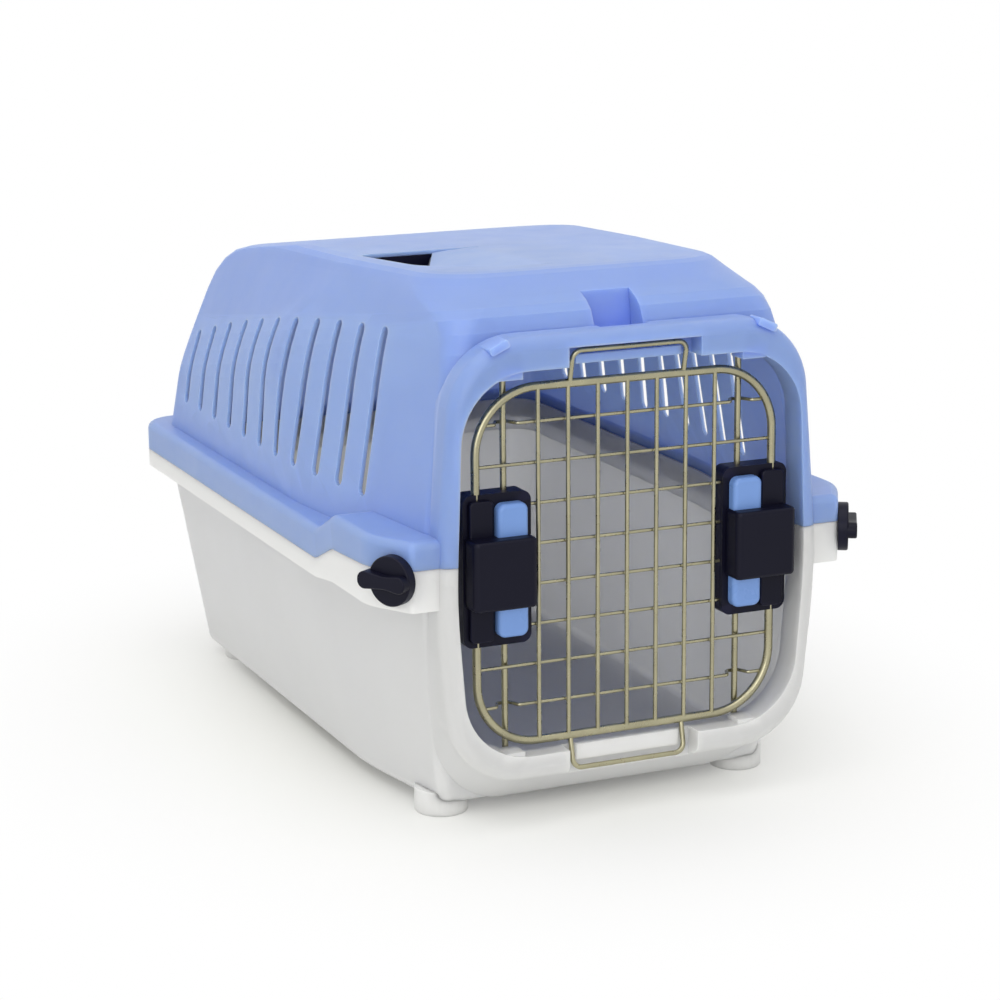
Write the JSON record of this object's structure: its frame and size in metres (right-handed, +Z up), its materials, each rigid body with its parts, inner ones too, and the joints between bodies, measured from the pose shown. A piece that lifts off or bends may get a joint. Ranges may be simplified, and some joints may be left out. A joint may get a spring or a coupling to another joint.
{
  "type": "pet carrier",
  "caption": "Two-part plastic pet carrier with a wire front door, spring latches with paired buttons, side turn knobs, vented walls and a carrying grip on top",
  "frame": {"origin": "on the ground under the middle of the carrier's outline", "axes": "X across, the door faces -Y, Z up; the longest side runs along Y"},
  "size_m": [0.3444, 0.516, 0.3372],
  "materials": {
    "white_plastic": "smooth moulded polypropylene, satin",
    "blue_plastic": "smooth moulded polypropylene, satin",
    "navy_plastic": "smooth moulded plastic",
    "button_plastic": "smooth moulded plastic",
    "plated_wire": "plated steel wire with a yellowish tone",
    "steel_parts": "bright steel"
  },
  "bodies": {
    "tub": {"lower_tub": "white_plastic", "feet": "white_plastic", "hinge_pin_right": "steel_parts", "hinge_pin_left": "steel_parts"},
    "lid": {"upper_shell": "blue_plastic", "handle_cup": "navy_plastic", "grip_liner": "navy_plastic", "handle_screws": "steel_parts"},
    "door": {"door_ring": "plated_wire", "door_uprights": "plated_wire", "door_crosswires": "plated_wire", "door_loop_top": "plated_wire", "door_loop_bottom": "plated_wire", "latch_body_right": "navy_plastic", "latch_body_left": "navy_plastic", "latch_cover_right": "navy_plastic", "latch_cover_left": "navy_plastic", "latch_screws_right": "steel_parts", "latch_screws_left": "steel_parts", "spring_upper_right": "steel_parts", "spring_lower_right": "steel_parts", "spring_upper_left": "steel_parts", "spring_lower_left": "steel_parts"},
    "latch_upper_right": {"button_upper_right": "button_plastic", "rod_upper_right": "plated_wire"},
    "latch_lower_right": {"button_lower_right": "button_plastic", "rod_lower_right": "plated_wire"},
    "turn_right": {"knob_right": "navy_plastic", "knob_cam_right": "navy_plastic", "knob_screw_right": "steel_parts"},
    "latch_upper_left": {"button_upper_left": "button_plastic", "rod_upper_left": "plated_wire"},
    "latch_lower_left": {"button_lower_left": "button_plastic", "rod_lower_left": "plated_wire"},
    "turn_left": {"knob_left": "navy_plastic", "knob_cam_left": "navy_plastic", "knob_screw_left": "steel_parts"}
  },
  "joints": [
    {"name": "door_swing", "type": "hinge", "parent": "tub", "child": "door", "pos_m": [0.08, -0.233, 0.1665], "axis": [0, 0, 1], "range_deg": [0, 75]},
    {"name": "upper_latch_right", "type": "slide", "parent": "door", "child": "latch_upper_right", "axis": [0, 0, -1], "range_m": [0, 0.0115], "stiffness_N_per_m": 400, "springref_m": -0.008, "deforming": ["spring_upper_right"]},
    {"name": "lower_latch_right", "type": "slide", "parent": "door", "child": "latch_lower_right", "axis": [0, 0, 1], "range_m": [0, 0.0115], "stiffness_N_per_m": 400, "springref_m": -0.008, "deforming": ["spring_lower_right"]},
    {"name": "upper_latch_left", "type": "slide", "parent": "door", "child": "latch_upper_left", "axis": [0, 0, -1], "range_m": [0, 0.0115], "stiffness_N_per_m": 400, "springref_m": -0.008, "deforming": ["spring_upper_left"]},
    {"name": "lower_latch_left", "type": "slide", "parent": "door", "child": "latch_lower_left", "axis": [0, 0, 1], "range_m": [0, 0.0115], "stiffness_N_per_m": 400, "springref_m": -0.008, "deforming": ["spring_lower_left"]},
    {"name": "knob_turn_right", "type": "hinge", "parent": "tub", "child": "turn_right", "pos_m": [0.152, -0.236, 0.1665], "axis": [0.866, -0.5, 0], "range_deg": [0, 90]},
    {"name": "knob_turn_left", "type": "hinge", "parent": "tub", "child": "turn_left", "pos_m": [-0.152, -0.236, 0.1665], "axis": [-0.866, -0.5, 0], "range_deg": [0, 90]},
    {"name": "lid_swing", "type": "hinge", "parent": "tub", "child": "lid", "pos_m": [0, 0.2536, 0.154], "axis": [-1, 0, 0], "range_deg": [0, 75]}
  ]
}
